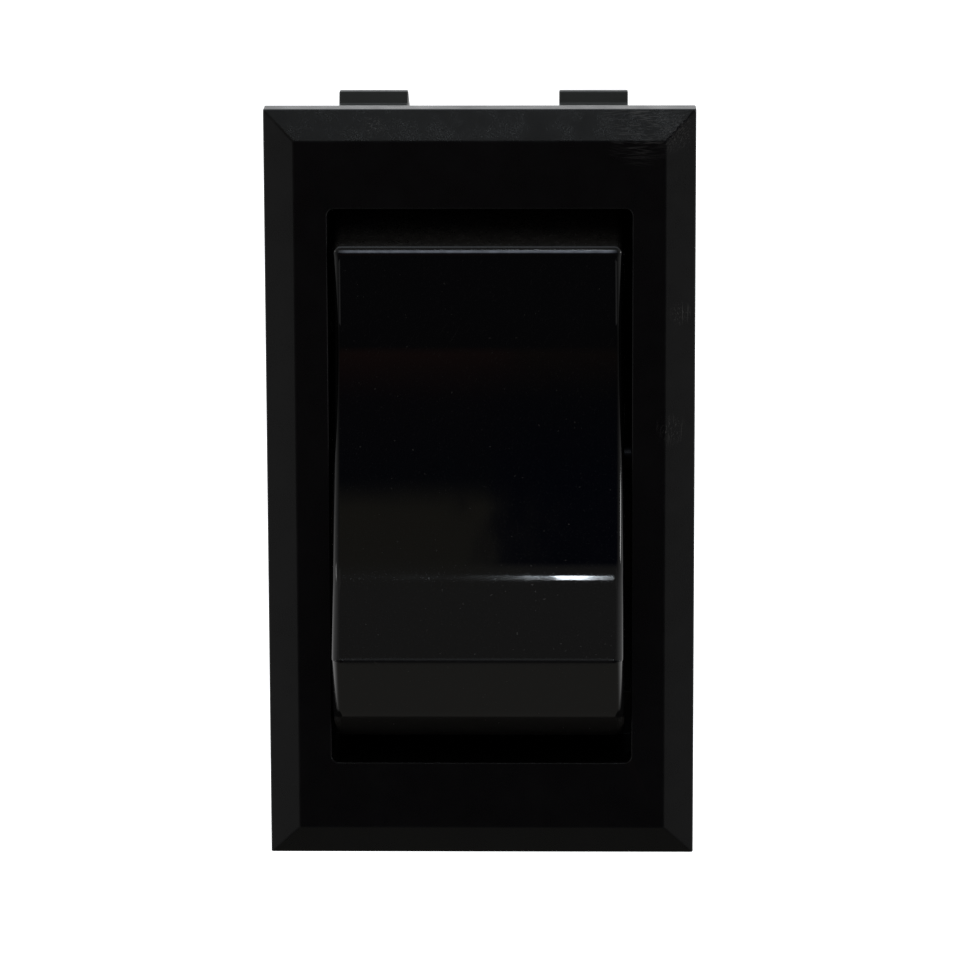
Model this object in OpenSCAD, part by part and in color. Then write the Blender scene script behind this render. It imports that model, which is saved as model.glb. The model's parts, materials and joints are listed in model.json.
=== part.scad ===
// Two-pole rocker switch for a panel or wall plate.
// Origin: centre of the panel cut-out in the seating plane. X across, Z up, +Y into the wall.

/* [Bezel] */
// Width of the bezel plate
bezel_w = 28.6; // [28:0.1:30]
// Height of the bezel plate
bezel_h = 50.8; // [50.8:0.1:53]
// Height of the bezel's square edge above the panel
rim_t = 1.85; // [1.4:0.05:2.2]
// Depth of the sloping border
bevel_t = 0.95; // [0.6:0.05:1.2]
// Width of the sloping border
bevel_w = 2.03; // [1.5:0.01:2.4]
// Width of the rocker window
window_w = 20.2; // [20.1:0.05:20.6]
// Height of the rocker window
window_h = 37.75; // [37.6:0.05:38.2]
// Corner radius of the rocker window
window_r = 0.5; // [0.3:0.1:1]

/* [Housing] */
// Width of the housing, which passes through the cut-out
housing_w = 24.8; // [24.6:0.1:25.2]
// Height of the housing
housing_h = 42.8; // [42.6:0.1:43.2]
// Depth of the housing behind the panel face
housing_d = 25; // [24.8:0.1:26]
// Width of the space inside the housing
inner_w = 20.8; // [20.6:0.05:21]
// Height of the space inside the housing
inner_h = 40; // [39.9:0.05:40.4]
// Width of one retaining finger
finger_w = 4.72; // [4:0.02:5]
// Distance of a finger's middle from the centre line
finger_x = 7.54; // [7:0.02:8]
// Distance of the finger's catch behind the panel face
catch_y = 12.2; // [11:0.1:13]
// Height of the finger's catch above the centre
catch_z = 24.6; // [24.2:0.05:24.8]

/* [Rocker] */
// Swing of the rocker to each side of its middle position, in degrees
rocker_swing = 12; // [10:0.5:12]
// Depth of the pivot axis behind the panel face
pivot_y = 7.8; // [7.6:0.05:8]
// Radius of the rocker's curved ends about the pivot
end_r = 19.6; // [19.2:0.05:19.65]
// Half length of the rocker's face between its two end ridges
ridge_z = 13.63; // [13.2:0.01:13.8]
// Height of the face's middle above the pivot
face_mid = 11.05; // [10.8:0.05:11.6]
// Half width of the rocker at its face
face_half_w = 9.65; // [9.4:0.05:9.7]
// Half width of the rocker at its skirt
skirt_half_w = 9.8; // [9.7:0.05:9.85]
// Side play that the rocker has taken up to the left
rocker_shift = 0.14; // [0:0.02:0.16]
// Wall thickness of the rocker cap
cap_wall = 1.5; // [1.2:0.1:1.8]
// Radius of the pivot pins
pin_r = 1.2; // [1:0.05:1.4]

/* [Contacts] */
// Distance of each pole from the centre line
pole_x = 5; // [4.8:0.1:5.2]
// Tilt of the contact lever to each side of its middle position, in degrees
lever_tilt = 8; // [6:0.5:8]
// Distance of the plunger's tip from the pivot axis
tip_reach = 9.5; // [9.3:0.05:9.5]
// Width of a terminal tab
tab_w = 4.8; // [4.5:0.1:4.8]
// Thickness of a terminal tab
tab_t = 0.8; // [0.5:0.1:0.8]
// Length of a terminal tab behind the base
tab_l = 8; // [6:0.5:10]

/* [Hidden] */

$fn = 48;
eps = 0.01;

// Bezel
bezel_t = rim_t + bevel_t;
seat_recess = 0.4;
cutout_w = housing_w + 0.4;
cutout_h = housing_h + 0.8;
leg_w = 6;
leg_t = 1;
leg_l = 7;
leg_z = 13;
leg_gap = 0.1;
leg_hook = 0.6;
hook_l = 1.6;
hook_end = 0.4;
hook_side = 1;

// Housing
wall_x = (housing_w - inner_w) / 2;
finger_slot = 0.6;
finger_root_y = 3;
finger_t = 0.9;
finger_land_z = 23.8;
finger_end_y = 19.5;
finger_end_gap = 0.8;
finger_lead = 0.2;
finger_tip_t = 1.6;
catch_rise = 0.35;
catch_l = 1.1;
pocket_y = 9.2;
pocket_z = 16.9;
pocket_wall = 0.7;
boss_w = 6.4;
boss_z = 14.2;
boss_y = 16.5;
screw_z = 16.6;
screw_r = 1.1;
screw_head_r = 2.2;
screw_head_t = 1.4;
screw_l = 7.5;
slot_w = 0.6;
slot_depth = 0.7;
pin_gap = 0.05;

// Base
base_t = 2.7;
base_y = housing_d - base_t;
base_gap = 0.05;
barrier_t = 1.2;
barrier_y = 12.6;
barrier_h = 27.2;
block_w = 6.2;
block_h = 4;
block_t = 2;
blade_depth = 4;
stop_w = 4;
stop_h = 2;
stop_drop = 1.15;
screw_gap = 0.2;

// Rocker, in its own frame: origin on the pivot axis, face towards -Y
ridge_g = sqrt(end_r * end_r - ridge_z * ridge_z);
blend_z = 7.9;
blend_g = 11.7;
skirt_g = 5.4;
bend_g = 8.9;
bend_z = sqrt(end_r * end_r - bend_g * bend_g);
bend_in = 0.8;
taper_from_g = 6;
face_r = (blend_z * blend_z + pow(blend_g - face_mid, 2)) / (2 * (blend_g - face_mid));
face_arc = asin(blend_z / face_r);
carrier_top_z = 6.4;
carrier_half_w = 9.6;
carrier_low_g = -2.6;
carrier_step_g = 3.3;
arm_z = 3;
relief_w = 11;
relief_from_z = 3.6;
relief_wall = 1.2;
tower_r = 3.1;
tower_low_g = -6.6;
plunger_r = 2;
plunger_gap = 0.05;
plunger_top = 4.2;
bore_top_g = 1.6;
spring_r = 1.8;
spring_wire = 0.4;
pin_l = 4.6;
pin_sunk = 0.3;

// Contacts, behind the plungers
lever_w = 4.6;
lever_t = 0.8;
lever_half_l = 11.4;
lever_front = 1.4;
fulcrum_r = 0.5;
fulcrum_gap = 0.05;
fulcrum_pad = 1.5;
fulcrum_pad_t = 1.3;
plunger_clear = 0.03;
fulcrum_y = pivot_y + tip_reach + plunger_clear + lever_front;
tip_z = 10;
tip_r = 1.5;
tip_face = 0.5;
rivet_r = 0.8;
rivet_head = 0.5;
rivet_step = 0.3;
dome_r = 4;
contact_gap = 0.1;
contact_t = 0.8;
tip_y = fulcrum_y + tip_face * cos(lever_tilt) + tip_z * sin(lever_tilt);
tip_at_z = tip_face * sin(lever_tilt) - tip_z * cos(lever_tilt);
dome_y = tip_y + (dome_r + contact_gap) * cos(lever_tilt);
dome_z = tip_at_z + (dome_r + contact_gap) * sin(lever_tilt);
plate_y = dome_y - dome_r + contact_t;
load_blade_z = -12.8;
foot_rim = 0.4;
tab_hole_r = 0.75;
tab_hole_from_end = 3.2;
tab_tip = 1.2;
tab_narrow = 0.8;
blade_gap = 0.1;

// Points of an arc in the Z, Y plane, about a centre at [z, y]
function arc(z, y, r, from, to, n) =
    [for (i = [0 : n]) let (a = from + (to - from) * i / n) [z + r * cos(a), y + r * sin(a)]];

// Rounded rectangle, width along X and height along Y
module rounded_rect(w, h, r) {
    square([w - 2 * r, h], center = true);
    square([w, h - 2 * r], center = true);
    for (x = [-1, 1]) {
        for (y = [-1, 1]) {
            translate([x * (w / 2 - r), y * (h / 2 - r)]) circle(r);
        }
    }
}

// Prism along X from an outline whose points are [z, y]
module along_x(w) {
    rotate([0, 90, 0]) mirror([1, 0, 0]) linear_extrude(w, center = true) children();
}

// Prism along Y from y0 to y1, from an outline whose points are [x, z]
module along_y(y0, y1) {
    translate([0, y1, 0]) rotate([90, 0, 0]) linear_extrude(y1 - y0) children();
}

// Round bar along X, centred
module bar_x(r, l) {
    rotate([0, 90, 0]) cylinder(r = r, h = l, center = true);
}

// Round bar along Y from y0 to y1
module bar_y(r, y0, y1) {
    translate([0, y0, 0]) rotate([-90, 0, 0]) cylinder(r = r, h = y1 - y0);
}

// Block from one corner to the other
module block(a, b) {
    translate(a) cube(b - a);
}

// One face of the plate outline: square edge, then the sloping border
module bezel_outline(half) {
    polygon([[-half, 0], [half, 0], [half, -rim_t], [half - bevel_w, -bezel_t],
             [bevel_w - half, -bezel_t], [-half, -rim_t]]);
}

// Leg that clips into the side of the housing
module bezel_leg() {
    outer = housing_w / 2 - leg_gap;
    inner = outer - leg_t;
    hook_half = leg_w / 2 - hook_side;
    block([inner, -seat_recess - eps, -leg_w / 2], [outer, leg_l, leg_w / 2]);
    block([inner - leg_hook, leg_l - hook_end - hook_l, -hook_half],
          [inner + eps, leg_l - hook_end, hook_half]);
}

module bezel() {
    color("#1b1b1c") {
        difference() {
            intersection() {
                linear_extrude(bezel_h + 2, center = true) bezel_outline(bezel_w / 2);
                along_x(bezel_w + 2) bezel_outline(bezel_h / 2);
            }
            along_y(-bezel_t - 1, 1) rounded_rect(window_w, window_h, window_r);
            block([-cutout_w / 2, -seat_recess, -cutout_h / 2], [cutout_w / 2, 1, cutout_h / 2]);
        }
        for (side = [-1, 1]) {
            for (z = [-leg_z, leg_z]) {
                translate([0, 0, z]) scale([side, 1, 1]) bezel_leg();
            }
        }
    }
}

// Retaining finger on the upper end wall: ramp, catch and lead-in
module finger() {
    end_z = housing_h / 2;
    translate([finger_x, 0, 0]) {
        along_x(finger_w) {
            polygon([[end_z - finger_t, finger_root_y - 1], [end_z, finger_root_y - 1],
                     [end_z, finger_root_y], [finger_land_z, catch_y],
                     [catch_z, catch_y + catch_rise], [catch_z, catch_y + catch_l],
                     [end_z + finger_lead, finger_end_y], [end_z - finger_t, finger_end_y],
                     [finger_land_z - finger_tip_t, catch_y + catch_rise],
                     [end_z - finger_t, finger_root_y + finger_slot]]);
        }
    }
}

// Space in the upper end wall that the finger bends into
module finger_space() {
    low = finger_x - finger_w / 2 - finger_slot;
    high = finger_x + finger_w / 2 + finger_slot;
    floor_z = housing_h / 2 - finger_t - leg_gap;
    end_y = finger_end_y + finger_end_gap;
    block([low, finger_root_y, floor_z], [high, end_y, housing_h / 2 + 1]);
    block([low, pocket_y + pocket_wall, pocket_z + pocket_wall], [high, end_y, housing_h / 2 + 1]);
}

// Pocket that closes the finger's space off from the inside
module finger_pocket() {
    half = finger_w / 2 + finger_slot + pocket_wall;
    end_y = finger_end_y + finger_end_gap + pocket_wall;
    block([finger_x - half, pocket_y, pocket_z], [finger_x + half, end_y, inner_h / 2 + 1]);
}

// Boss on the end wall for a base screw
module screw_boss() {
    block([-boss_w / 2, boss_y, boss_z], [boss_w / 2, base_y, inner_h / 2 + 1]);
}

module housing() {
    color("#232324") {
        difference() {
            block([-housing_w / 2, -seat_recess, -housing_h / 2], [housing_w / 2, housing_d, housing_h / 2]);
            difference() {
                block([-inner_w / 2, -1, -inner_h / 2], [inner_w / 2, housing_d + 1, inner_h / 2]);
                for (end = [-1, 1]) {
                    scale([1, 1, end]) screw_boss();
                    for (side = [-1, 1]) {
                        scale([side, 1, end]) finger_pocket();
                    }
                }
            }
            for (side = [-1, 1]) {
                for (end = [-1, 1]) {
                    scale([side, 1, end]) {
                        finger_space();
                        translate([0, 0, leg_z]) leg_recess();
                    }
                }
                translate([0, 0, side * screw_z]) bar_y(screw_r, boss_y + 1, base_y + 1);
            }
            translate([0, pivot_y, 0]) bar_x(pin_r + pin_gap, housing_w + 2);
        }
        for (side = [-1, 1]) {
            for (end = [-1, 1]) {
                scale([side, 1, end]) finger();
            }
        }
    }
}

// Recess and catch hole for one leg of the bezel
module leg_recess() {
    outer = housing_w / 2;
    half = leg_w / 2 + leg_gap;
    block([outer - leg_t - 2 * leg_gap, -1, -half], [outer + 1, leg_l + leg_gap, half]);
    block([outer - wall_x - 1, leg_l - hook_end - hook_l - leg_gap, hook_side - half],
          [outer, leg_l + leg_gap, half - hook_side]);
}

module base() {
    color("#3a2a20") {
        difference() {
            union() {
                block([base_gap - inner_w / 2, base_y, base_gap - inner_h / 2],
                      [inner_w / 2 - base_gap, housing_d, inner_h / 2 - base_gap]);
                block([-barrier_t / 2, barrier_y, -barrier_h / 2],
                      [barrier_t / 2, base_y + eps, barrier_h / 2]);
                for (side = [-1, 1]) {
                    translate([side * pole_x, 0, 0]) {
                        block([-block_w / 2, base_y - block_t, -block_h / 2],
                              [block_w / 2, base_y + eps, block_h / 2]);
                        block([-stop_w / 2, fulcrum_y + stop_drop, tip_z - stop_h / 2],
                              [stop_w / 2, base_y + eps, tip_z + stop_h / 2]);
                    }
                }
            }
            for (side = [-1, 1]) {
                translate([side * pole_x, 0, 0]) {
                    blade_slot(0);
                    blade_slot(load_blade_z);
                }
                translate([0, 0, side * screw_z]) bar_y(screw_r + screw_gap, base_y - 1, housing_d + 1);
            }
        }
    }
}

// Slot in the base that a terminal is pressed into
module blade_slot(z) {
    block([-tab_w / 2, base_y - blade_depth, z - tab_t / 2], [tab_w / 2, housing_d + 1, z + tab_t / 2]);
}

module base_screws() {
    color("#b9bcc0") {
        for (side = [-1, 1]) {
            translate([0, 0, side * screw_z]) {
                bar_y(screw_r, housing_d - screw_l, housing_d + eps);
                difference() {
                    bar_y(screw_head_r, housing_d, housing_d + screw_head_t);
                    block([-slot_w / 2, housing_d + screw_head_t - slot_depth, -screw_head_r],
                          [slot_w / 2, housing_d + screw_head_t + 1, screw_head_r]);
                }
            }
        }
    }
}

// The rocker's own frame, tilted to the stored position with its upper end pressed in
module rocker_frame() {
    translate([-rocker_shift, pivot_y, 0]) rotate([-rocker_swing, 0, 0]) children();
}

// Side outline of the rocker's face, drawn down to the skirt, moved in by "inset"
module face_outline(inset) {
    far = end_r + 1;
    ridge = inset - ridge_g;
    bend = bend_z - bend_in * inset;
    rise = inset - bend_g;
    polygon(concat([[-far, -skirt_g], [-bend, rise], [bend_in * inset - ridge_z, ridge]],
                   arc(0, -face_mid - face_r + inset, face_r, 90 + face_arc, 90 - face_arc, 16),
                   [[ridge_z - bend_in * inset, ridge], [bend, rise], [far, -skirt_g]]));
}

// Solid form of the rocker: face, curved ends and slightly sloping sides
module rocker_form(inset, skirt) {
    intersection() {
        along_x(2 * skirt_half_w + 2) face_outline(inset);
        bar_x(end_r - inset, 2 * skirt_half_w + 2);
        linear_extrude(2 * end_r, center = true) {
            polygon([[-skirt_half_w + inset, skirt], [skirt_half_w - inset, skirt],
                     [skirt_half_w - inset, -taper_from_g], [face_half_w - inset, -ridge_g],
                     [face_half_w - inset, -end_r], [inset - face_half_w, -end_r],
                     [inset - face_half_w, -ridge_g], [inset - skirt_half_w, -taper_from_g]]);
        }
    }
}

module rocker_cap() {
    color("#0b0b0d") {
        rocker_frame() {
            difference() {
                rocker_form(0, 0);
                rocker_form(cap_wall, 1);
                block([-end_r, -skirt_g - eps, cap_wall + 1 - end_r], [end_r, 1, end_r - cap_wall - 1]);
            }
        }
    }
}

// Hollow in the carrier's block, beside the plunger bores
module carrier_relief() {
    block([-relief_w / 2, -face_mid, relief_from_z], [relief_w / 2, end_r, carrier_top_z - relief_wall]);
}

module rocker_carrier() {
    color("#3a3a3c") {
        rocker_frame() {
            difference() {
                union() {
                    block([-face_half_w + cap_wall, -face_mid + cap_wall, -carrier_top_z],
                          [face_half_w - cap_wall, carrier_step_g, carrier_top_z]);
                    block([-carrier_half_w, -carrier_step_g, -arm_z],
                          [carrier_half_w, -carrier_low_g, arm_z]);
                    for (side = [-1, 1]) {
                        translate([side * pole_x, 0, 0]) bar_y(tower_r, 0, -tower_low_g);
                    }
                }
                for (side = [-1, 1]) {
                    translate([side * pole_x, 0, 0]) bar_y(plunger_r + plunger_gap, -bore_top_g, end_r);
                    for (end = [-1, 1]) {
                        scale([1, 1, end]) carrier_relief();
                    }
                }
                pivot_bars();
                for (end = [-1, 1]) {
                    scale([1, 1, end]) {
                        block([-end_r, -carrier_low_g, arm_z], [end_r, end_r, carrier_top_z + 1]);
                    }
                }
            }
        }
    }
}

// The two pins, centred between the housing's side walls
module pivot_bars() {
    for (side = [-1, 1]) {
        translate([rocker_shift + side * (housing_w / 2 - pin_sunk - pin_l / 2), 0, 0]) bar_x(pin_r, pin_l);
    }
}

module pivot_pins() {
    color("#3c3d40") rocker_frame() pivot_bars();
}

module plunger(side) {
    color("#8a6a3a") {
        rocker_frame() {
            translate([side * pole_x, 0, 0]) {
                bar_y(plunger_r, plunger_top, tip_reach - plunger_r);
                translate([0, tip_reach - plunger_r, 0]) sphere(plunger_r);
            }
        }
    }
}

module plunger_spring(side) {
    color("#cfd2d6") {
        rocker_frame() {
            translate([side * pole_x, 0, 0]) {
                difference() {
                    bar_y(spring_r, -bore_top_g, plunger_top);
                    bar_y(spring_r - spring_wire, -bore_top_g - 1, plunger_top + 1);
                }
            }
        }
    }
}

// The lever's own frame: origin on the fulcrum, tilted so that its lower end is pressed in
module lever_frame(side) {
    translate([side * pole_x, fulcrum_y, 0]) rotate([lever_tilt, 0, 0]) children();
}

module lever(side) {
    color("#c78a4b") {
        lever_frame(side) {
            difference() {
                union() {
                    block([-lever_w / 2, -lever_front, -lever_half_l],
                          [lever_w / 2, lever_t - lever_front, lever_half_l]);
                    block([-lever_w / 2, -lever_front, -fulcrum_pad],
                          [lever_w / 2, fulcrum_pad_t - lever_front, fulcrum_pad]);
                }
                bar_x(fulcrum_r + fulcrum_gap, lever_w + 2);
                translate([0, 0, -tip_z]) bar_y(rivet_r, -2 * lever_front, 2 * lever_front);
            }
        }
    }
}

module lever_tip(side) {
    color("#dfe2e6") {
        lever_frame(side) {
            translate([0, 0, -tip_z]) {
                bar_y(rivet_r, -lever_front - eps, lever_t - lever_front + eps);
                bar_y(tip_r, lever_t - lever_front, tip_face);
                bar_y(tip_r - rivet_step, -lever_front - rivet_head, -lever_front);
            }
        }
    }
}

// Flat tab behind the base, with a narrowed end and a detent hole
module tab(z, y0) {
    end = housing_d + tab_l;
    translate([0, 0, z - tab_t / 2]) {
        difference() {
            linear_extrude(tab_t) {
                polygon([[-tab_w / 2, y0], [tab_w / 2, y0], [tab_w / 2, end - tab_tip],
                         [tab_w / 2 - tab_narrow, end], [tab_narrow - tab_w / 2, end],
                         [-tab_w / 2, end - tab_tip]]);
            }
            translate([0, end - tab_hole_from_end, -1]) cylinder(r = tab_hole_r, h = tab_t + 2);
        }
    }
}

module common_terminal(side) {
    color("#cba75a") {
        translate([side * pole_x, 0, 0]) {
            translate([0, fulcrum_y, 0]) bar_x(fulcrum_r, lever_w - 2 * blade_gap);
            block([blade_gap - lever_w / 2, fulcrum_y, -tab_t / 2],
                  [lever_w / 2 - blade_gap, base_y - block_t + eps, tab_t / 2]);
            tab(0, base_y - block_t);
        }
    }
}

module load_terminal(side) {
    color("#cba75a") {
        translate([side * pole_x, 0, 0]) {
            difference() {
                block([-tab_w / 2, plate_y, load_blade_z - tab_t / 2],
                      [tab_w / 2, plate_y + tab_t, dome_z + tip_r + foot_rim]);
                translate([0, 0, dome_z]) bar_y(rivet_r, plate_y - 1, plate_y + 2);
            }
            tab(load_blade_z, plate_y);
        }
    }
}

module load_contact(side) {
    color("#dfe2e6") {
        translate([side * pole_x, 0, dome_z]) {
            intersection() {
                translate([0, dome_y, 0]) sphere(dome_r);
                bar_y(tip_r, plate_y - contact_t - 1, plate_y);
            }
            bar_y(rivet_r, plate_y - eps, plate_y + tab_t);
        }
    }
}

bezel();
housing();
base();
base_screws();
rocker_cap();
rocker_carrier();
pivot_pins();
plunger(-1);  // plunger_left
plunger(1);  // plunger_right
plunger_spring(-1);  // plunger_spring_left
plunger_spring(1);  // plunger_spring_right
lever(-1);  // lever_left
lever(1);  // lever_right
lever_tip(-1);  // lever_tip_left
lever_tip(1);  // lever_tip_right
common_terminal(-1);  // common_terminal_left
common_terminal(1);  // common_terminal_right
load_terminal(-1);  // load_terminal_left
load_terminal(1);  // load_terminal_right
load_contact(-1);  // load_contact_left
load_contact(1);  // load_contact_right
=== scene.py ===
"""Looks of the rocker wall switch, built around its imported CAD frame.

Blender objects are in metres and the sizes here in millimetres. X goes across, Z up and +Y into the wall.
"""
import json
import math

import bmesh
import bpy
from mathutils import Matrix, Vector


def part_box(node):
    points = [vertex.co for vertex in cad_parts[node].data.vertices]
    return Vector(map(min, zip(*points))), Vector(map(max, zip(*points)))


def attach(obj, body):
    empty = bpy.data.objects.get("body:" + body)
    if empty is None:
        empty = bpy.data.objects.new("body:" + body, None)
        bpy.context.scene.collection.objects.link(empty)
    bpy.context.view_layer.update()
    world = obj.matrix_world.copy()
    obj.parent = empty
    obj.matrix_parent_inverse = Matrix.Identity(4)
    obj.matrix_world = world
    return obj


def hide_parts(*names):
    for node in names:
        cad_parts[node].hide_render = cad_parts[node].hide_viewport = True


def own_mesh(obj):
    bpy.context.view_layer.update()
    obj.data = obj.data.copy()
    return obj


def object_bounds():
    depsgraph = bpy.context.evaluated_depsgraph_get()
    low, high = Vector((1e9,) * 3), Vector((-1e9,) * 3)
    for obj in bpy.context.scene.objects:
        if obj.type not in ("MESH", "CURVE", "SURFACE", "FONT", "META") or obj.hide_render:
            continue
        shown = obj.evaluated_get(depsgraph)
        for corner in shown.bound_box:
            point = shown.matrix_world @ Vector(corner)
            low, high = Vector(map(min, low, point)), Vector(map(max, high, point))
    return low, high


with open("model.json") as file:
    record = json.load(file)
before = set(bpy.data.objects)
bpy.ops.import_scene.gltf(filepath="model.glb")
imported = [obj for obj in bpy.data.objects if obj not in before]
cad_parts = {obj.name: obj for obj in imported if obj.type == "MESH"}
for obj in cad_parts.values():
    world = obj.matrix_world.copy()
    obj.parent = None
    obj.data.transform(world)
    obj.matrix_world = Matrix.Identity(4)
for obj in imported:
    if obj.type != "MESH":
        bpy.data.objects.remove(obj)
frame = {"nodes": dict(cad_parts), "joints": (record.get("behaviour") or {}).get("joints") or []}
cad_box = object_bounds()
MM = 0.001


# ---------------------------------------------------------------- sizes, from the frame
def corner_mm(node):
    """Lowest and highest corner of a CAD node, in millimetres."""
    low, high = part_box(node)
    return low / MM, high / MM


def joint(name):
    return next(j for j in frame["joints"] if j["name"] == name)


# Bezel: outer size, square rim, sloping border, window and the recess behind it
BEZEL_LOW, BEZEL_HIGH = corner_mm("bezel")
BEZEL_W = BEZEL_HIGH.x - BEZEL_LOW.x
BEZEL_H = BEZEL_HIGH.z - BEZEL_LOW.z
BEZEL_T = -BEZEL_LOW.y
RIM_T = 1.85
BEVEL_W = 2.03
WINDOW_W = 20.2
WINDOW_H = 37.75
WINDOW_R = 0.5
SEAT_RECESS = 0.4
HOUSING_HALF_W = corner_mm("housing")[1].x
CUTOUT_HALF_W = HOUSING_HALF_W + 0.2
CUTOUT_HALF_H = 21.8

# Clip legs behind the bezel
LEG_Z = 13
LEG_HALF_W = 3
LEG_T = 1
LEG_HOOK = 0.6
LEG_GAP = 0.1

# Rocker: Z along its length and G above the pivot, both in its own frame
SWING = math.radians((joint("rocker_tilt")["range_deg"][1]) / 2)
PIVOT = Vector(joint("rocker_tilt")["pos_m"]) / MM
ROCKER_LOW, ROCKER_HIGH = corner_mm("rocker_cap")
ROCKER_X = (ROCKER_LOW.x + ROCKER_HIGH.x) / 2
SKIRT_HALF_W = (ROCKER_HIGH.x - ROCKER_LOW.x) / 2
FACE_HALF_W = SKIRT_HALF_W - 0.15
END_R = 19.6
RIDGE_Z = 13.63
RIDGE_G = math.sqrt(END_R**2 - RIDGE_Z**2)
FACE_MID = 11.05
BLEND_Z = 7.9
BLEND_G = 11.7
BLEND_SPAN = 0.9
SKIRT_G = 5.4
BEND_G = 8.9
BEND_Z = math.sqrt(END_R**2 - BEND_G**2)
TAPER_FROM_G = 6.0
EDGE_R = 0.62
NOSE_R = {1: 0.5, -1: 0.14}
CAP_WALL = 1.5
END_NORMAL = Vector((RIDGE_G - BEND_G, BEND_Z - RIDGE_Z)).normalized()
SLOPE = (RIDGE_G - BLEND_G) / (RIDGE_Z - BLEND_Z)
HOLLOW_R = (BLEND_Z**2 + (BLEND_G - FACE_MID) ** 2) / (2 * (BLEND_G - FACE_MID))

# Marks on the rocker: the painted highlight line along the upper ridge, and where dust, with painted
# reflected light, lies on the upper wall
PAINTED_GLINT_Z = RIDGE_Z - 0.15
DUST_AND_LIGHT_FROM_Z = 15.8

# Plunger springs
SPRING_LENGTH = 5.8
SPRING_R = 1.6
WIRE_R = 0.2
SPRING_TURNS = 7


# ---------------------------------------------------------------- small helpers
def mesh_object(name, vertices, faces, smooth=True):
    """A mesh object from points in millimetres."""
    mesh = bpy.data.meshes.new(name)
    mesh.from_pydata([Vector(v) * MM for v in vertices], [], faces)
    bm = bmesh.new()
    bm.from_mesh(mesh)
    bmesh.ops.recalc_face_normals(bm, faces=bm.faces)
    bm.to_mesh(mesh)
    bm.free()
    for polygon in mesh.polygons:
        polygon.use_smooth = smooth
    obj = bpy.data.objects.new(name, mesh)
    bpy.context.scene.collection.objects.link(obj)
    return obj


def round_edges(obj, width, segments=3, angle=28):
    """Rounds the sharp edges by width, in millimetres, and keeps flat faces flat."""
    bevel = obj.modifiers.new("round_edges", "BEVEL")
    bevel.width = width * MM
    bevel.segments = segments
    bevel.limit_method = "ANGLE"
    bevel.angle_limit = math.radians(angle)
    bevel.miter_outer = "MITER_ARC"
    even = obj.modifiers.new("even_normals", "WEIGHTED_NORMAL")
    even.weight = 100
    even.keep_sharp = True


def clean_cad(obj, width, segments=2, angle=28):
    """Joins the triangles of a CAD node into its flat faces and rounds its edges."""
    weld = obj.modifiers.new("weld", "WELD")
    weld.merge_threshold = 0.002 * MM
    flat = obj.modifiers.new("flat_faces", "DECIMATE")
    flat.decimate_type = "DISSOLVE"
    flat.angle_limit = math.radians(0.5)
    round_edges(obj, width, segments, angle)


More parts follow.
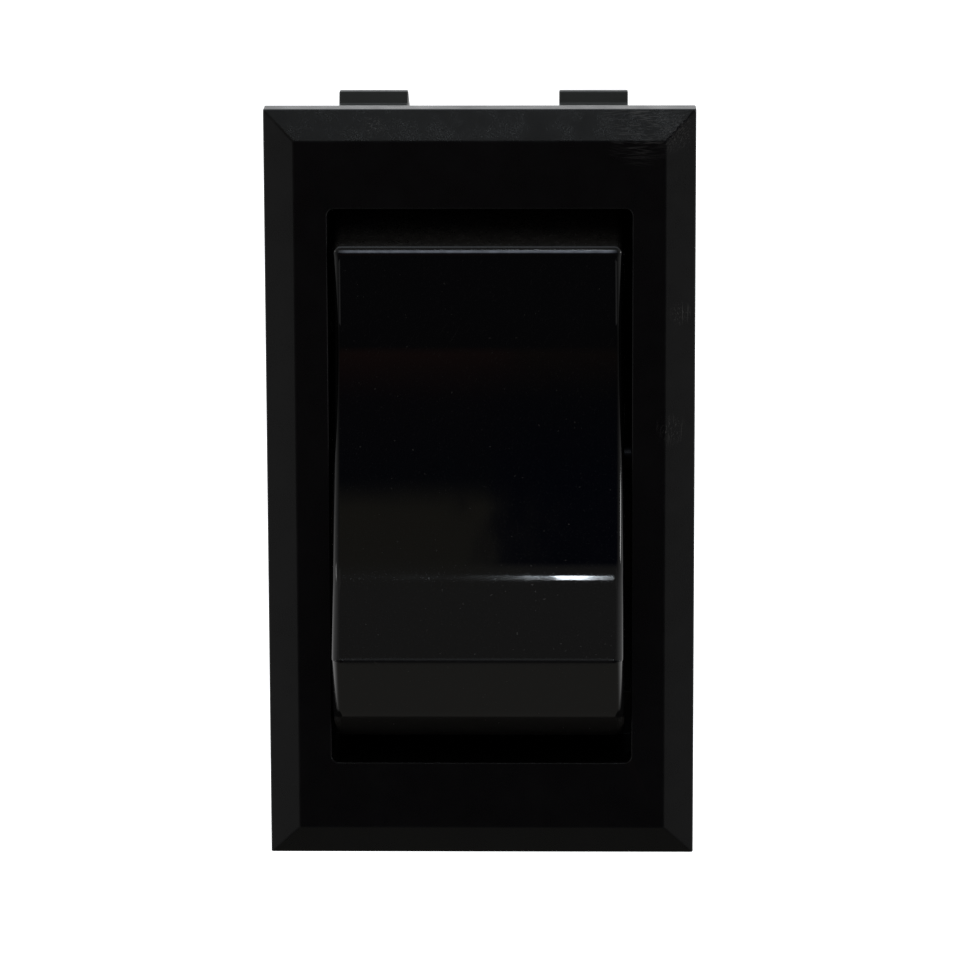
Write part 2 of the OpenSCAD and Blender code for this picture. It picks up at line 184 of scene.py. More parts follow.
# ---------------------------------------------------------------- materials
class Nodes:
    """A material's node tree, with short calls for the nodes used here."""

    def __init__(self, name):
        self.material = bpy.data.materials.new(name)
        self.material.use_nodes = True
        self.tree = self.material.node_tree
        self.shader = self.tree.nodes["Principled BSDF"]
        self.place = self.add("ShaderNodeTexCoord").outputs["Object"]

    def add(self, kind, **values):
        node = self.tree.nodes.new(kind)
        for key, value in values.items():
            setattr(node, key, value)
        return node

    def link(self, a, b):
        self.tree.links.new(a, b)

    def mapping(self, scale):
        node = self.add("ShaderNodeMapping")
        node.inputs["Scale"].default_value = scale
        self.link(self.place, node.inputs["Vector"])
        return node.outputs["Vector"]

    def noise(self, size_mm, detail=2.0, rough=0.5, stretch=(1, 1, 1)):
        """Noise whose lumps are about size_mm across."""
        node = self.add("ShaderNodeTexNoise")
        node.inputs["Scale"].default_value = 1
        node.inputs["Detail"].default_value = detail
        node.inputs["Roughness"].default_value = rough
        self.link(self.mapping([s / (size_mm * MM) for s in stretch]), node.inputs["Vector"])
        return node.outputs["Fac"]

    def ramp(self, value, low, high, out_low=0.0, out_high=1.0):
        node = self.add("ShaderNodeMapRange")
        node.inputs["From Min"].default_value = low
        node.inputs["From Max"].default_value = high
        node.inputs["To Min"].default_value = out_low
        node.inputs["To Max"].default_value = out_high
        self.link(value, node.inputs["Value"])
        return node.outputs["Result"]

    def math(self, operation, a, b):
        node = self.add("ShaderNodeMath", operation=operation)
        for socket, value in zip(node.inputs, (a, b)):
            if isinstance(value, (int, float)):
                socket.default_value = value
            else:
                self.link(value, socket)
        return node.outputs["Value"]

    def mix(self, factor, a, b):
        node = self.add("ShaderNodeMix", data_type="RGBA")
        self.link(factor, node.inputs["Factor"])
        for socket, value in zip((node.inputs[6], node.inputs[7]), (a, b)):
            if isinstance(value, tuple):
                socket.default_value = (*value, 1)
            else:
                self.link(value, socket)
        return node.outputs[2]

    def bump(self, height, strength, distance_mm):
        node = self.add("ShaderNodeBump")
        node.inputs["Strength"].default_value = strength
        node.inputs["Distance"].default_value = distance_mm * MM
        self.link(height, node.inputs["Height"])
        return node.outputs["Normal"]

    def worn_edges(self, radius_mm):
        """1 on sharp outer edges, 0 elsewhere."""
        node = self.add("ShaderNodeBevel", samples=4)
        node.inputs["Radius"].default_value = radius_mm * MM
        geometry = self.add("ShaderNodeNewGeometry")
        dot = self.add("ShaderNodeVectorMath", operation="DOT_PRODUCT")
        self.link(node.outputs["Normal"], dot.inputs[0])
        self.link(geometry.outputs["Normal"], dot.inputs[1])
        return self.ramp(dot.outputs["Value"], 0.999, 0.93)

    def facing_up(self):
        """1 on surfaces that face upward, 0 on upright and lower ones."""
        geometry = self.add("ShaderNodeNewGeometry")
        split = self.add("ShaderNodeSeparateXYZ")
        self.link(geometry.outputs["True Normal"], split.inputs[0])
        return self.ramp(split.outputs["Z"], 0.55, 0.85)

    def away(self, value, place_mm):
        """Distance of a coordinate from a place on its axis."""
        return self.math("ABSOLUTE", self.math("SUBTRACT", value, place_mm * MM), 0)

    def near(self, place_mm, radius_mm):
        """1 at a place on the object, falling to 0 at radius_mm from it."""
        node = self.add("ShaderNodeVectorMath", operation="DISTANCE")
        self.link(self.place, node.inputs[0])
        node.inputs[1].default_value = [v * MM for v in place_mm]
        return self.ramp(node.outputs["Value"], radius_mm * MM, radius_mm * 0.3 * MM)

    def scratches(self, size_mm, share, seed, turn):
        """Fine broken lines in one direction, 1 on a line."""
        mapping = self.add("ShaderNodeMapping", vector_type="TEXTURE")
        mapping.inputs["Location"].default_value = [seed * MM * i for i in (1, 2, 3)]
        mapping.inputs["Rotation"].default_value = turn
        mapping.inputs["Scale"].default_value = [size_mm * MM * i for i in (1, 1, 35)]
        self.link(self.place, mapping.inputs["Vector"])
        node = self.add("ShaderNodeTexNoise")
        node.inputs["Scale"].default_value = 1
        node.inputs["Detail"].default_value = 1
        self.link(mapping.outputs["Vector"], node.inputs["Vector"])
        return self.ramp(node.outputs["Fac"], share, share + 0.04)


SCUFF_GREY = (0.09, 0.088, 0.085)


def plastic(name, color, roughness, grain_mm, grain_strength, mottle=0.3, edge=0.35, scuffs=()):
    """Moulded plastic: fine grain, slight mottling, polished and paler edges, scuffs at given places."""
    n = Nodes(name)
    worn = n.worn_edges(0.12)
    patches = n.ramp(n.noise(4.5, 3), 0.35, 0.65)
    dark = tuple(c * (1 - mottle) for c in color)
    light = tuple(c * (1 + mottle) for c in color)
    pale = tuple(min(1, c * (1 + 2.5 * edge) + 0.01 * edge) for c in color)
    base = n.mix(worn, n.mix(patches, dark, light), pale)
    for i, (place, radius, turn) in enumerate(scuffs):
        lines = n.math("MAXIMUM", n.scratches(0.07, 0.6, 5.0 + i, turn),
                       n.scratches(0.05, 0.62, 9.0 + i, tuple(a + 0.25 for a in turn)))
        base = n.mix(n.math("MULTIPLY", lines, n.near(place, radius)), base, SCUFF_GREY)
    n.link(base, n.shader.inputs["Base Color"])
    grain = n.noise(grain_mm, 3, 0.6)
    rubbed = n.ramp(n.noise(1.6, 4), 0.3, 0.75, -0.05, 0.06)
    rough = n.math("ADD", n.ramp(grain, 0.3, 0.7, roughness - 0.05, roughness + 0.05), rubbed)
    n.link(n.math("SUBTRACT", rough, n.math("MULTIPLY", worn, 0.1)), n.shader.inputs["Roughness"])
    n.link(n.bump(grain, grain_strength, grain_mm * 0.3), n.shader.inputs["Normal"])
    n.shader.inputs["Specular IOR Level"].default_value = 0.5
    return n.material


POLISHED_BLACK = (0.003, 0.003, 0.0036)
# Grey of hairlines, specks and dust; on the upper wall it also paints the light reflected onto that shaded
# wall
DUST_AND_PAINTED_LIGHT_GREY = (0.04, 0.038, 0.035)
# Pale blue-white painted highlight: it stands in for the glint along the rocker's upper ridge
PAINTED_RIDGE_GLINT = (0.55, 0.6, 0.7)


def rocker_axes(n):
    """The rocker's own X, -G and Z: from the pivot, and turned back by its tilt at rest."""
    own = n.add("ShaderNodeMapping", vector_type="TEXTURE")
    own.inputs["Location"].default_value = PIVOT * MM
    own.inputs["Rotation"].default_value = (-SWING, 0, 0)
    n.link(n.place, own.inputs["Vector"])
    split = n.add("ShaderNodeSeparateXYZ")
    n.link(own.outputs["Vector"], split.inputs[0])
    return split.outputs


def hairlines(n):
    """Hairline scratches in three directions."""
    lines = n.scratches(0.05, 0.69, 3.0, (0.2, 0.5, 0.3))
    lines = n.math("MAXIMUM", lines, n.scratches(0.06, 0.7, 7.0, (1.1, 0.2, 0.9)))
    return n.math("MAXIMUM", lines, n.scratches(0.05, 0.7, 11.0, (0.4, 1.4, 0.1)))


def upper_wall_dust_and_painted_light(n):
    """Patchy dust on what faces upward, from DUST_AND_LIGHT_FROM_Z up; its grey also paints the light
    reflected onto the shaded upper wall, so its lower edge sits where that wall's shadow begins.
    """
    split = n.add("ShaderNodeSeparateXYZ")
    n.link(n.place, split.inputs[0])
    upper = n.ramp(split.outputs["Z"], DUST_AND_LIGHT_FROM_Z * MM, (DUST_AND_LIGHT_FROM_Z + 0.5) * MM)
    patches = n.ramp(n.noise(0.5, 4), 0.3, 0.7, 0.6, 1.0)
    return n.math("MULTIPLY", n.math("MULTIPLY", n.facing_up(), upper), patches)


def ridge_glint_and_dull_edges(n, x, minus_g, z):
    """A painted highlight line along the upper ridge, and the dull edge of both ridges, between the rounded
    side edges; returns the painted highlight mask and the mask that is made rougher.
    """
    outer, inner = FACE_HALF_W - EDGE_R * 0.6, FACE_HALF_W - EDGE_R * 1.6
    between = n.ramp(n.away(x, ROCKER_X), outer * MM, inner * MM)
    high = n.ramp(minus_g, (0.6 - RIDGE_G) * MM, (0.4 - RIDGE_G) * MM)
    face_side = n.math("MULTIPLY", between, high)
    # The painted highlight: a pale stripe along the upper ridge, patchy in strength
    line = n.math("MULTIPLY", face_side, n.ramp(n.away(z, PAINTED_GLINT_Z), 0.12 * MM, 0.04 * MM))
    rubbed = n.math("MULTIPLY", line, n.ramp(n.noise(0.8, 3), 0.3, 0.6, 0.6, 1.0))
    lower_ridge = n.math("MULTIPLY", face_side, n.ramp(n.away(z, -RIDGE_Z), 0.3 * MM, 0.12 * MM))
    return rubbed, n.math("MAXIMUM", rubbed, lower_ridge)


def gloss_black(name):
    """The rocker's polished black: faint ripple, hairlines, specks, dust on the upper wall that also paints
    the light reflected there, matt end walls, a painted highlight line along the upper ridge and duller
    ridges.
    """
    n = Nodes(name)
    x, minus_g, z = rocker_axes(n)
    matt_walls = n.ramp(n.away(z, 0), (BEND_Z - 0.05) * MM, (BEND_Z + 0.1) * MM, 0, 0.8)
    marks = n.math("MULTIPLY", hairlines(n), 0.35)
    # The dust on the upper wall here also paints the light reflected onto that wall
    for mark in (n.ramp(n.noise(0.2, 0), 0.83, 0.86), upper_wall_dust_and_painted_light(n), matt_walls):
        marks = n.math("MAXIMUM", marks, mark)
    rubbed, dull = ridge_glint_and_dull_edges(n, x, minus_g, z)
    # The painted highlight along the upper ridge is laid over the marks and the polished black
    n.link(n.mix(rubbed, n.mix(marks, POLISHED_BLACK, DUST_AND_PAINTED_LIGHT_GREY), PAINTED_RIDGE_GLINT), n.shader.inputs["Base Color"])
    haze = n.ramp(n.noise(2.2, 4), 0.3, 0.75, 0.035, 0.065)
    rough = n.math("ADD", haze, n.math("MULTIPLY", marks, 0.25))
    n.link(n.math("ADD", rough, n.math("MULTIPLY", dull, 0.4)), n.shader.inputs["Roughness"])
    ripple = n.math("ADD", n.noise(3.5, 1), n.math("MULTIPLY", n.noise(0.3, 2), 0.02))
    n.link(n.bump(ripple, 0.02, 0.4), n.shader.inputs["Normal"])
    n.shader.inputs["IOR"].default_value = 1.5
    return n.material


def metal(name, color, roughness, brushed=(1, 1, 1), tarnish=(0.3, 0.22, 0.16), tarnish_share=0.25):
    """Worked metal: directional marks, tarnish in patches, bright edges."""
    n = Nodes(name)
    patches = n.ramp(n.noise(1.8, 4), 0.45, 0.75, 0, tarnish_share)
    worn = n.worn_edges(0.08)
    base = n.mix(patches, color, tarnish)
    n.link(n.mix(worn, base, tuple(min(1, c * 1.15) for c in color)), n.shader.inputs["Base Color"])
    n.shader.inputs["Metallic"].default_value = 1
    lines = n.noise(0.12, 2, 0.5, brushed)
    n.link(n.ramp(lines, 0.3, 0.7, roughness - 0.08, roughness + 0.1), n.shader.inputs["Roughness"])
    n.link(n.bump(lines, 0.12, 0.03), n.shader.inputs["Normal"])
    return n.material


# Scuffs on the bezel: middle in mm, radius in mm, direction of the lines
ACROSS, SLANTED = (0, 1.5, 0), (0, 0.75, 0)
SCUFFS = (
    ((10.6, -2.3, 24.4), 3.0, ACROSS),
    ((12.9, -2.4, 24.1), 1.6, SLANTED),
    ((-7.0, -2.3, 24.3), 0.9, SLANTED),
    ((13.3, -2.3, 11.8), 0.9, (0, 0, 0)),
    ((12.7, -2.6, 4.0), 1.2, (0, 0.1, 0)),
)
BEZEL_BLACK = plastic("bezel_black", (0.0032, 0.0032, 0.0034), 0.32, 0.09, 0.2, edge=1.2, scuffs=SCUFFS)
HOUSING_BLACK = plastic("housing_black", (0.044, 0.047, 0.043), 0.42, 0.14, 0.3, mottle=0.1)
BASE_BROWN = plastic("base_brown", (0.05, 0.026, 0.015), 0.38, 0.3, 0.12, mottle=0.14)
ROCKER_BLACK = gloss_black("rocker_black")
CARRIER_NYLON = plastic("carrier_nylon", (0.045, 0.045, 0.048), 0.4, 0.2, 0.15)
PLUNGER_ACETAL = plastic("plunger_acetal", (0.42, 0.22, 0.07), 0.3, 0.2, 0.1, 0.1, 0.1)
PIN_STEEL = metal("pin_steel", (0.05, 0.05, 0.055), 0.35, (0.1, 1, 1), (0.03, 0.028, 0.026))
STEEL = metal("steel", (0.56, 0.57, 0.58), 0.28, (1, 0.1, 1), (0.35, 0.34, 0.33))
SPRING_STEEL = metal("spring_steel", (0.6, 0.61, 0.63), 0.22, (1, 1, 1), (0.4, 0.38, 0.36))
COPPER = metal("copper_alloy", (0.78, 0.42, 0.23), 0.26, (1, 1, 0.1), (0.4, 0.2, 0.12))
SILVER = metal("silver_alloy", (0.86, 0.87, 0.86), 0.2, (1, 1, 1), (0.45, 0.44, 0.4))
BRASS = metal("brass", (0.8, 0.6, 0.26), 0.25, (1, 0.1, 1), (0.45, 0.3, 0.14))


def dress(obj, material):
    obj.data.materials.clear()
    obj.data.materials.append(material)


# ---------------------------------------------------------------- bezel
def corner_arc(x, z, radius, start, steps):
    """Points of a quarter circle, from the angle start, in degrees."""
    angles = [math.radians(start + 90 * i / steps) for i in range(steps + 1)]
    return [(x + radius * math.cos(a), z + radius * math.sin(a)) for a in angles]


def rounded_window(width, height, radius, steps=6):
    """Four corner arcs, counter-clockwise from the upper right, seen from the front."""
    x, z = width / 2 - radius, height / 2 - radius
    return [corner_arc(sx * x, sz * z, radius, start, steps)
            for sx, sz, start in ((1, 1, 0), (-1, 1, 90), (-1, -1, 180), (1, -1, 270))]


def rectangle(half_w, half_h):
    return [(half_w, half_h), (-half_w, half_h), (-half_w, -half_h), (half_w, -half_h)]


def build_bezel():
    """The plate: square edge, sloping border, flat, and a window with rounded corners."""
    points, faces = [], []

    def ring(outline, y):
        start = len(points)
        points.extend((x, y, z) for x, z in outline)
        return list(range(start, len(points)))

    def band(a, b):
        for i in range(len(a)):
            j = (i + 1) % len(a)
            faces.append((a[i], a[j], b[j], b[i]))

    def window_face(corners, arcs):
        """Flat face between a rectangle and the window: a fan at each corner and a quad at each side."""
        count = len(arcs[0])
        for c in range(4):
            first = arcs[c]
            following = arcs[(c + 1) % 4]
            for i in range(count - 1):
                faces.append((corners[c], first[i], first[i + 1]))
            faces.append((corners[c], first[-1], following[0], corners[(c + 1) % 4]))

    half_w, half_h = BEZEL_W / 2, BEZEL_H / 2
    seat = ring(rectangle(CUTOUT_HALF_W, CUTOUT_HALF_H), 0)
    floor = ring(rectangle(CUTOUT_HALF_W, CUTOUT_HALF_H), -SEAT_RECESS)
    back = ring(rectangle(half_w, half_h), 0)
    rim = ring(rectangle(half_w, half_h), -RIM_T)
    flat = ring(rectangle(half_w - BEVEL_W, half_h - BEVEL_W), -BEZEL_T)
    arcs = rounded_window(WINDOW_W, WINDOW_H, WINDOW_R)
    front_arcs = [ring(arc, -BEZEL_T) for arc in arcs]
    back_arcs = [ring(arc, -SEAT_RECESS) for arc in arcs]
    band(floor, seat)
    band(seat, back)
    band(back, rim)
    band(rim, flat)
    window_face(flat, front_arcs)
    window_face(floor, back_arcs)
    band(sum(front_arcs, []), sum(back_arcs, []))
    plate = mesh_object("bezel_plate", points, faces)
    round_edges(plate, 0.1, 3, 20)
    dress(plate, BEZEL_BLACK)
    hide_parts("bezel")
    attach(plate, "switch_body")


def build_bezel_legs():
    """Four clip legs with a hook and a slanted end, joined to the plate's back."""
    outer = HOUSING_HALF_W - LEG_GAP
    root = -SEAT_RECESS - 0.02
    tip = BEZEL_HIGH.y
    hook = LEG_T + LEG_HOOK
    outline = [(0, root), (0, tip - 0.7), (-0.25, tip), (-LEG_T, tip), (-LEG_T, tip - 0.4),
               (-hook, tip - 1.1), (-hook, tip - 1.6), (-LEG_T, tip - 2), (-LEG_T, root)]
    for side in (-1, 1):
        for end in (-1, 1):
            levels = (end * LEG_Z - LEG_HALF_W, end * LEG_Z + LEG_HALF_W)
            points = [(side * (outer + x), y, z) for z in levels for x, y in outline]
            count = len(outline)
            faces = [(i, (i + 1) % count, count + (i + 1) % count, count + i) for i in range(count)]
            faces += [tuple(range(count)), tuple(range(count, 2 * count))]
            name = f"bezel_leg_{'right' if side > 0 else 'left'}_{'upper' if end > 0 else 'lower'}"
            leg = mesh_object(name, points, faces)
            round_edges(leg, 0.08, 2)
            dress(leg, BEZEL_BLACK)
            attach(leg, "switch_body")


# ---------------------------------------------------------------- rocker
def face_height(z):
    """Height of the face above the pivot: a shallow hollow that runs smoothly into the rising ends."""
    steps = 9
    total = 0
    for i in range(steps):
        at = abs(z + BLEND_SPAN * (2 * i / (steps - 1) - 1))
        if at <= BLEND_Z:
            total += FACE_MID + HOLLOW_R - math.sqrt(HOLLOW_R**2 - at**2)
        else:
            total += BLEND_G + (at - BLEND_Z) * SLOPE
    return total / steps


def end_outline(inset, end):
    """Points of one end, from the skirt's lower edge over the bend to the rounded ridge; end is 1 or -1."""
    end_r = END_R - inset
    low_g = BLEND_G - BLEND_Z * SLOPE - inset * math.sqrt(1 + SLOPE**2)
    reach = END_NORMAL.dot(Vector((RIDGE_Z, RIDGE_G))) - inset
    ridge_z = (reach - END_NORMAL.y * low_g) / (END_NORMAL.x + END_NORMAL.y * SLOPE)
    ridge = Vector((ridge_z, low_g + ridge_z * SLOPE))
    along = Vector((-END_NORMAL.y, END_NORMAL.x))
    bend = END_NORMAL * reach - along * math.sqrt(end_r**2 - reach**2)
    nose = max(0.05, NOSE_R[end] - inset) * 1.25
    foot, top = math.asin(SKIRT_G / end_r), math.atan2(bend.y, bend.x)
    angles = [foot + (top - foot) * i / 16 for i in range(17)]
    line = [(end_r * math.cos(a), end_r * math.sin(a)) for a in angles]
    line += [tuple(bend.lerp(ridge - along * nose, i / 8)) for i in range(1, 9)]
    a, c = Vector(line[-1]), Vector((ridge.x - nose, ridge.y - nose * SLOPE))
    line += [tuple(a.lerp(ridge, t).lerp(ridge.lerp(c, t), t)) for t in (i / 8 for i in range(1, 9))]
    return [(end * z, g) for z, g in line]


def rocker_outline(inset=0.0):
    """Points (z, height) of the side outline, moved in by inset; always the same number of points."""
    upper, lower = end_outline(inset, 1), end_outline(inset, -1)
    drop = inset * math.sqrt(1 + SLOPE**2)
    steps = 90
    middle = []
    for i in range(1, steps):
        z = upper[-1][0] + (lower[-1][0] - upper[-1][0]) * i / steps
        middle.append((z, face_height(z) - (drop if abs(z) > BLEND_Z else inset)))
    return upper + middle + lower[::-1]


def half_width(g):
    """Half width of the rocker at a height above the pivot: square skirt, then slightly drawn-in sides."""
    share = max(0, (g - TAPER_FROM_G) / (RIDGE_G - TAPER_FROM_G))
    return SKIRT_HALF_W + (FACE_HALF_W - SKIRT_HALF_W) * share


def rocker_place(x, z, g):
    """From the rocker's own frame, face towards -Y, to the stored position."""
    cos_a, sin_a = math.cos(-SWING), math.sin(-SWING)
    return (ROCKER_X + x, PIVOT.y - g * cos_a - z * sin_a, PIVOT.z - g * sin_a + z * cos_a)


def build_rocker_cap():
    """A shell: strips along the outline over a rounded edge on each side, side walls, and a plain inside."""
    points, faces = [], []

    def line(outline, side, x_of):
        """Point numbers along one outline on one side."""
        start = len(points)
        points.extend(rocker_place(side * x_of(g), z, g) for z, g in outline)
        return list(range(start, len(points)))

    def strip(a, b):
        for i in range(len(a) - 1):
            faces.append((a[i], a[i + 1], b[i + 1], b[i]))

    def foot(outline, share):
        """The outline moved down towards the skirt's lower edge."""
        return [(z, g + (SKIRT_G - g) * share) for z, g in outline]

    def side_lines(side, radius, steps, inset):
        """Lines from the face over the rounded edge and down the side wall to the skirt's lower edge."""
        lines = []
        for k in range(steps + 1):
            t = math.pi / 2 * k / steps
            moved = radius * (1 - math.cos(t))
            back = radius * (1 - math.sin(t))
            lines.append(line(rocker_outline(inset + moved), side, lambda g: half_width(g) - inset - back))
        last = rocker_outline(inset + radius)
        for share in (0.4, 1):
            lines.append(line(foot(last, share), side, lambda g: half_width(g) - inset))
        return lines

    shells = []
    for radius, steps, inset in ((EDGE_R, 7, 0.0), (0.2, 1, CAP_WALL)):
        left, right = (side_lines(side, radius, steps, inset) for side in (-1, 1))
        for lines in (left, right):
            for a, b in zip(lines, lines[1:]):
                strip(a, b)
        strip(left[0], right[0])
        shells.append((left, right))
    (left, right), (inner_left, inner_right) = shells
    strip(left[-1], inner_left[-1])
    strip(right[-1], inner_right[-1])
    for i in (0, -1):
        faces.append([n[i] for n in left[::-1]] + [n[i] for n in right]
                     + [n[i] for n in inner_right[::-1]] + [n[i] for n in inner_left])
    cap = mesh_object("rocker_shell", points, faces)
    bm = bmesh.new()
    bm.from_mesh(cap.data)
    bmesh.ops.remove_doubles(bm, verts=bm.verts, dist=0.0005 * MM)
    bmesh.ops.recalc_face_normals(bm, faces=bm.faces)
    bm.to_mesh(cap.data)
    bm.free()
    cap.data.set_sharp_from_angle(angle=math.radians(35))
    even = cap.modifiers.new("even_normals", "WEIGHTED_NORMAL")
    even.keep_sharp = True
    dress(cap, ROCKER_BLACK)
    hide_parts("rocker_cap")
    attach(cap, "rocker")


# ---------------------------------------------------------------- springs
def build_spring(side):
    """A closed-end coil spring in the plunger's bore, which moves with the rocker."""
    node = f"plunger_spring_{side}"
    low, high = corner_mm(node)
    axis = Vector((0, math.cos(SWING), -math.sin(SWING)))
    centre = (low + high) / 2
    per_turn, around = 28, 8
    across = Vector((1, 0, 0))
    up = axis.cross(across)
    points, faces = [], []
    total = SPRING_TURNS * per_turn
    usable = SPRING_LENGTH - 2 * WIRE_R
    closed = 0.8 / SPRING_TURNS
    for i in range(total + 1):
        t = i / total
        angle = 2 * math.pi * SPRING_TURNS * t
        eased = min(1, max(0, (t - closed) / (1 - 2 * closed)))
        ends = min(t * SPRING_TURNS, 1) + max(0, (t - 1) * SPRING_TURNS + 1)
        along = WIRE_R * ends + (usable - 2 * WIRE_R) * eased
        out = across * math.cos(angle) + up * math.sin(angle)
        middle = centre + axis * (along - usable / 2) + out * SPRING_R
        for k in range(around):
            b = 2 * math.pi * k / around
            points.append(middle + (out * math.cos(b) + axis * math.sin(b)) * WIRE_R)
    for i in range(total):
        for k in range(around):
            a, b = i * around + k, i * around + (k + 1) % around
            faces.append((a, b, b + around, a + around))
    faces.append(tuple(range(around)))
    faces.append(tuple(range(total * around, (total + 1) * around)))
    spring = mesh_object(f"coil_{side}", points, faces)
    dress(spring, SPRING_STEEL)
    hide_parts(node)
    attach(spring, "rocker")
    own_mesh(spring)


# ---------------------------------------------------------------- CAD nodes that stay
def keep_cad(node, material, width, segments=2):
    obj = frame["nodes"][node]
    dress(obj, material)
    clean_cad(obj, width, segments)


def build_object():
    build_bezel()
    build_bezel_legs()
    build_rocker_cap()
    keep_cad("housing", HOUSING_BLACK, 0.12)
    keep_cad("base", BASE_BROWN, 0.1)
    keep_cad("base_screws", STEEL, 0.08)
    keep_cad("rocker_carrier", CARRIER_NYLON, 0.12)
    keep_cad("pivot_pins", PIN_STEEL, 0.1)
    for side in ("left", "right"):
        build_spring(side)
        keep_cad(f"plunger_{side}", PLUNGER_ACETAL, 0.05)
        keep_cad(f"lever_{side}", COPPER, 0.06)
        keep_cad(f"lever_tip_{side}", SILVER, 0.06)
        keep_cad(f"common_terminal_{side}", BRASS, 0.06)
        keep_cad(f"load_terminal_{side}", BRASS, 0.06)
        keep_cad(f"load_contact_{side}", SILVER, 0.05)


# ---------------------------------------------------------------- camera, lights and floor
def build_camera():
    """Front view from 12 degrees above the switch's axis and a little to the right."""
    elevation, azimuth, roll = math.radians(12), math.radians(1.14), math.radians(-0.2)
    distance, lens = 357, 200.75
    target = Vector((-0.03, -BEZEL_T, 0.61))
    back = Vector((math.sin(azimuth) * math.cos(elevation), -math.cos(azimuth) * math.cos(elevation),
                   math.sin(elevation)))
    data = bpy.data.cameras.new("camera")
    data.lens = lens
    data.sensor_width = 36
    data.clip_start = 0.01
    data.clip_end = 20
    camera = bpy.data.objects.new("camera", data)
    bpy.context.scene.collection.objects.link(camera)
    right = Vector((0, 0, 1)).cross(back).normalized()
    up = back.cross(right)
    x_axis = right * math.cos(roll) + up * math.sin(roll)
    y_axis = up * math.cos(roll) - right * math.sin(roll)
    turn = Matrix((x_axis, y_axis, back)).transposed()
    camera.matrix_world = Matrix.Translation((target + back * distance) * MM) @ turn.to_4x4()
    bpy.context.scene.camera = camera


def card(name, azimuth, elevation, distance, size, power, color=(1, 1, 1)):
    """An area light aimed at the switch: degrees, metres, watts. Azimuth 0 is in front, 90 on the right."""
    a, e = math.radians(azimuth), math.radians(elevation)
    back = Vector((math.sin(a) * math.cos(e), -math.cos(a) * math.cos(e), math.sin(e)))
    data = bpy.data.lights.new(name, "AREA")
    data.shape = "RECTANGLE"
    data.size, data.size_y = size
    data.energy = power
    data.color = color
    light = bpy.data.objects.new(name, data)
    bpy.context.scene.collection.objects.link(light)
    light.location = back * distance
    light.rotation_mode = "QUATERNION"
    light.rotation_quaternion = back.to_track_quat("Z", "Y")
    light.visible_camera = False


# Light around the switch, as (degrees from the front over the top, colour)
BELOW = (
    (-180, (1, 1, 1)), (-135, (0.6, 0.6, 0.6)), (-112, (0.13, 0.127, 0.118)), (-76, (0.125, 0.122, 0.113)),
    (-58, (0.075, 0.075, 0.072)), (-38, (0.034, 0.034, 0.04)), (-9, (0.03, 0.03, 0.035)),
)
LEFT_LIGHT = BELOW + (
    (-3, (0.09, 0.05, 0.045)), (4, (0.03, 0.027, 0.036)), (16, (0.018, 0.023, 0.036)),
    (20, (0.14, 0.132, 0.105)), (40, (0.15, 0.145, 0.13)), (61, (0.16, 0.158, 0.155)),
    (73, (0.17, 0.17, 0.17)), (77, (0.85, 0.93, 1)), (115, (0.85, 0.93, 1)), (180, (1, 1, 1)),
)
RIGHT_LIGHT = BELOW + (
    (-3, (0.06, 0.045, 0.04)), (4, (0.02, 0.023, 0.033)), (16, (0.008, 0.013, 0.036)),
    (31, (0.008, 0.013, 0.036)), (37, (0.14, 0.138, 0.135)), (61, (0.16, 0.158, 0.155)),
    (73, (0.17, 0.17, 0.17)), (77, (0.6, 0.66, 0.75)), (115, (0.7, 0.75, 0.8)), (180, (1, 1, 1)),
)


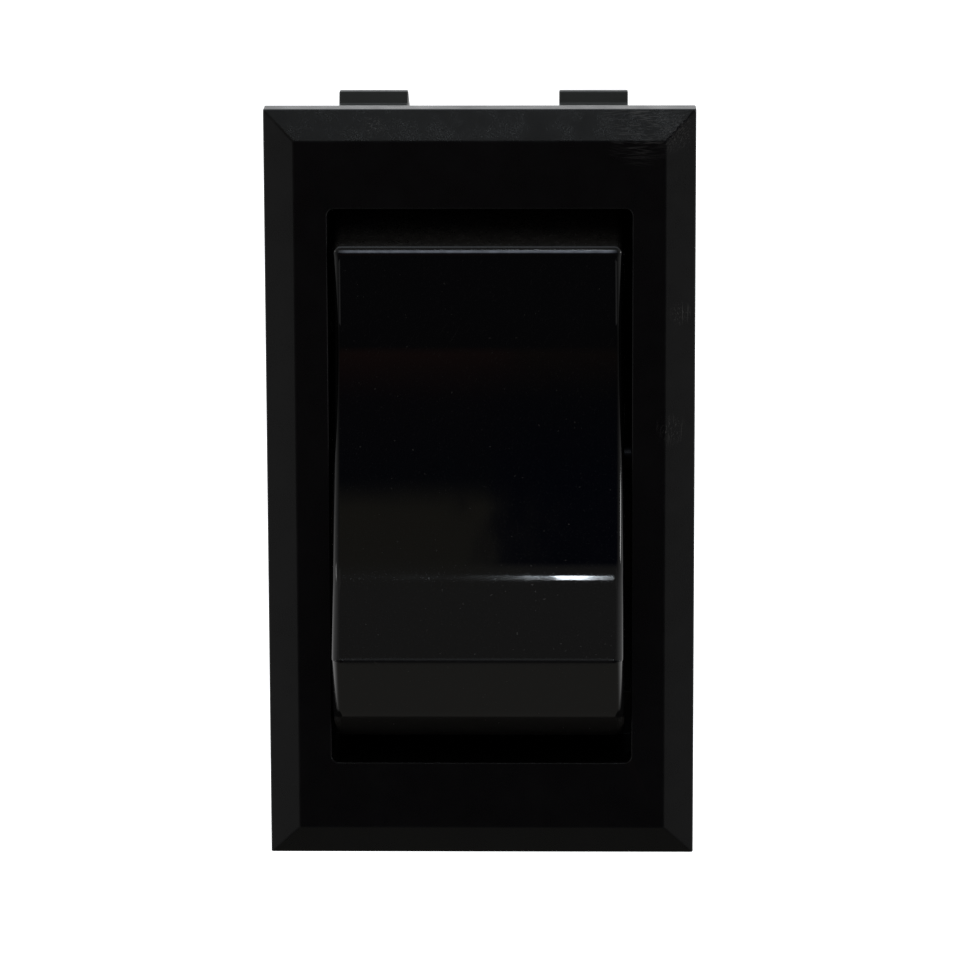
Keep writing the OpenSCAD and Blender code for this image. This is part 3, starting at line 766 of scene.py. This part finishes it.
def build_world():
    """A white room seen directly; what lights the switch is dimmer in front of it than behind it."""
    world = bpy.data.worlds.new("room")
    bpy.context.scene.world = world
    world.use_nodes = True
    tree = world.node_tree
    tree.nodes.clear()

    def add(kind, *links, **values):
        node = tree.nodes.new(kind)
        for key, value in values.items():
            setattr(node, key, value)
        for socket, source in zip(node.inputs, links):
            if source is not None:
                tree.links.new(source, socket)
        return node

    place = add("ShaderNodeTexCoord")
    split = add("ShaderNodeSeparateXYZ", place.outputs["Generated"])
    x, y, z = split.outputs
    front = add("ShaderNodeMath", y, operation="MULTIPLY")
    front.inputs[1].default_value = -1
    angle = add("ShaderNodeMath", z, front.outputs[0], operation="ARCTAN2")

    def between(source, low, high):
        node = add("ShaderNodeMapRange", source, interpolation_type="SMOOTHSTEP")
        node.inputs["From Min"].default_value = low
        node.inputs["From Max"].default_value = high
        return node.outputs["Result"]

    turn = add("ShaderNodeMapRange", angle.outputs[0])
    turn.inputs["From Min"].default_value = -math.pi
    turn.inputs["From Max"].default_value = math.pi

    def ramp(source, stops):
        node = add("ShaderNodeValToRGB", source)
        elements = node.color_ramp.elements
        while len(elements) < len(stops):
            elements.new(0.5)
        for element, (degrees, color) in zip(elements, stops):
            element.position = (degrees + 180) / 360
            element.color = (*color, 1)
        return node.outputs["Color"]

    def mix(factor, a, b):
        node = add("ShaderNodeMix", factor, data_type="RGBA")
        tree.links.new(a, node.inputs[6])
        tree.links.new(b, node.inputs[7])
        return node.outputs[2]

    ahead = mix(between(x, -0.018, -0.014), ramp(turn.outputs["Result"], LEFT_LIGHT),
                ramp(turn.outputs["Result"], RIGHT_LIGHT))
    beside = add("ShaderNodeMapRange", y)
    for name, value in (("From Min", -0.75), ("From Max", 0.7), ("To Min", 0.09), ("To Max", 1.0)):
        beside.inputs[name].default_value = value
    width = add("ShaderNodeMath", x, operation="ABSOLUTE")
    around = mix(between(width.outputs[0], 0.35, 0.75), ahead, beside.outputs["Result"])
    light = add("ShaderNodeBackground", around)
    seen = add("ShaderNodeBackground")
    seen.inputs["Color"].default_value = (1, 1, 1, 1)
    path = add("ShaderNodeLightPath")
    choice = add("ShaderNodeMixShader", path.outputs["Is Camera Ray"], light.outputs[0], seen.outputs[0])
    out = add("ShaderNodeOutputWorld")
    tree.links.new(choice.outputs[0], out.inputs["Surface"])


def build_floor():
    """A pale floor well below the switch, which hangs in the air as in a cut-out product picture."""
    z = cad_box[0].z - 0.12
    mesh = bpy.data.meshes.new("floor")
    mesh.from_pydata([(-4, -4, z), (4, -4, z), (4, 4, z), (-4, 4, z)], [], [(0, 1, 2, 3)])
    floor = bpy.data.objects.new("floor", mesh)
    bpy.context.scene.collection.objects.link(floor)
    n = Nodes("floor_white")
    n.shader.inputs["Base Color"].default_value = (0.9, 0.9, 0.9, 1)
    n.shader.inputs["Roughness"].default_value = 0.9
    n.shader.inputs["Emission Color"].default_value = (1, 1, 1, 1)
    n.shader.inputs["Emission Strength"].default_value = 0.9
    mesh.materials.append(n.material)
    floor.visible_glossy = False
    floor.visible_diffuse = False


def build_lights():
    card("small_lamp", 0.33, 44, 1.0, (0.007, 0.02), 0.026, (0.8, 0.9, 1))
    card("small_lamp_end", 0.47, 45.4, 1.0, (0.006, 0.06), 0.075, (0.85, 0.93, 1))
    card("right_card", 80, 8, 0.8, (0.12, 0.1), 0.3)
    card("left_card", -80, 19, 0.8, (0.12, 0.12), 0.14)
    card("upper_left", -32, 42, 1.0, (0.3, 0.3), 0.03)
    card("upper_right", 32, 42, 1.0, (0.3, 0.3), 0.02)
    card("lower_left", -26, -33, 1.0, (0.3, 0.2), 0.05)
    card("lower_right", 26, -33, 1.0, (0.3, 0.2), 0.05)


bpy.context.scene.view_settings.view_transform = "Standard"
bpy.context.scene.view_settings.look = "None"
build_camera()
build_object()
build_world()
build_floor()
build_lights()
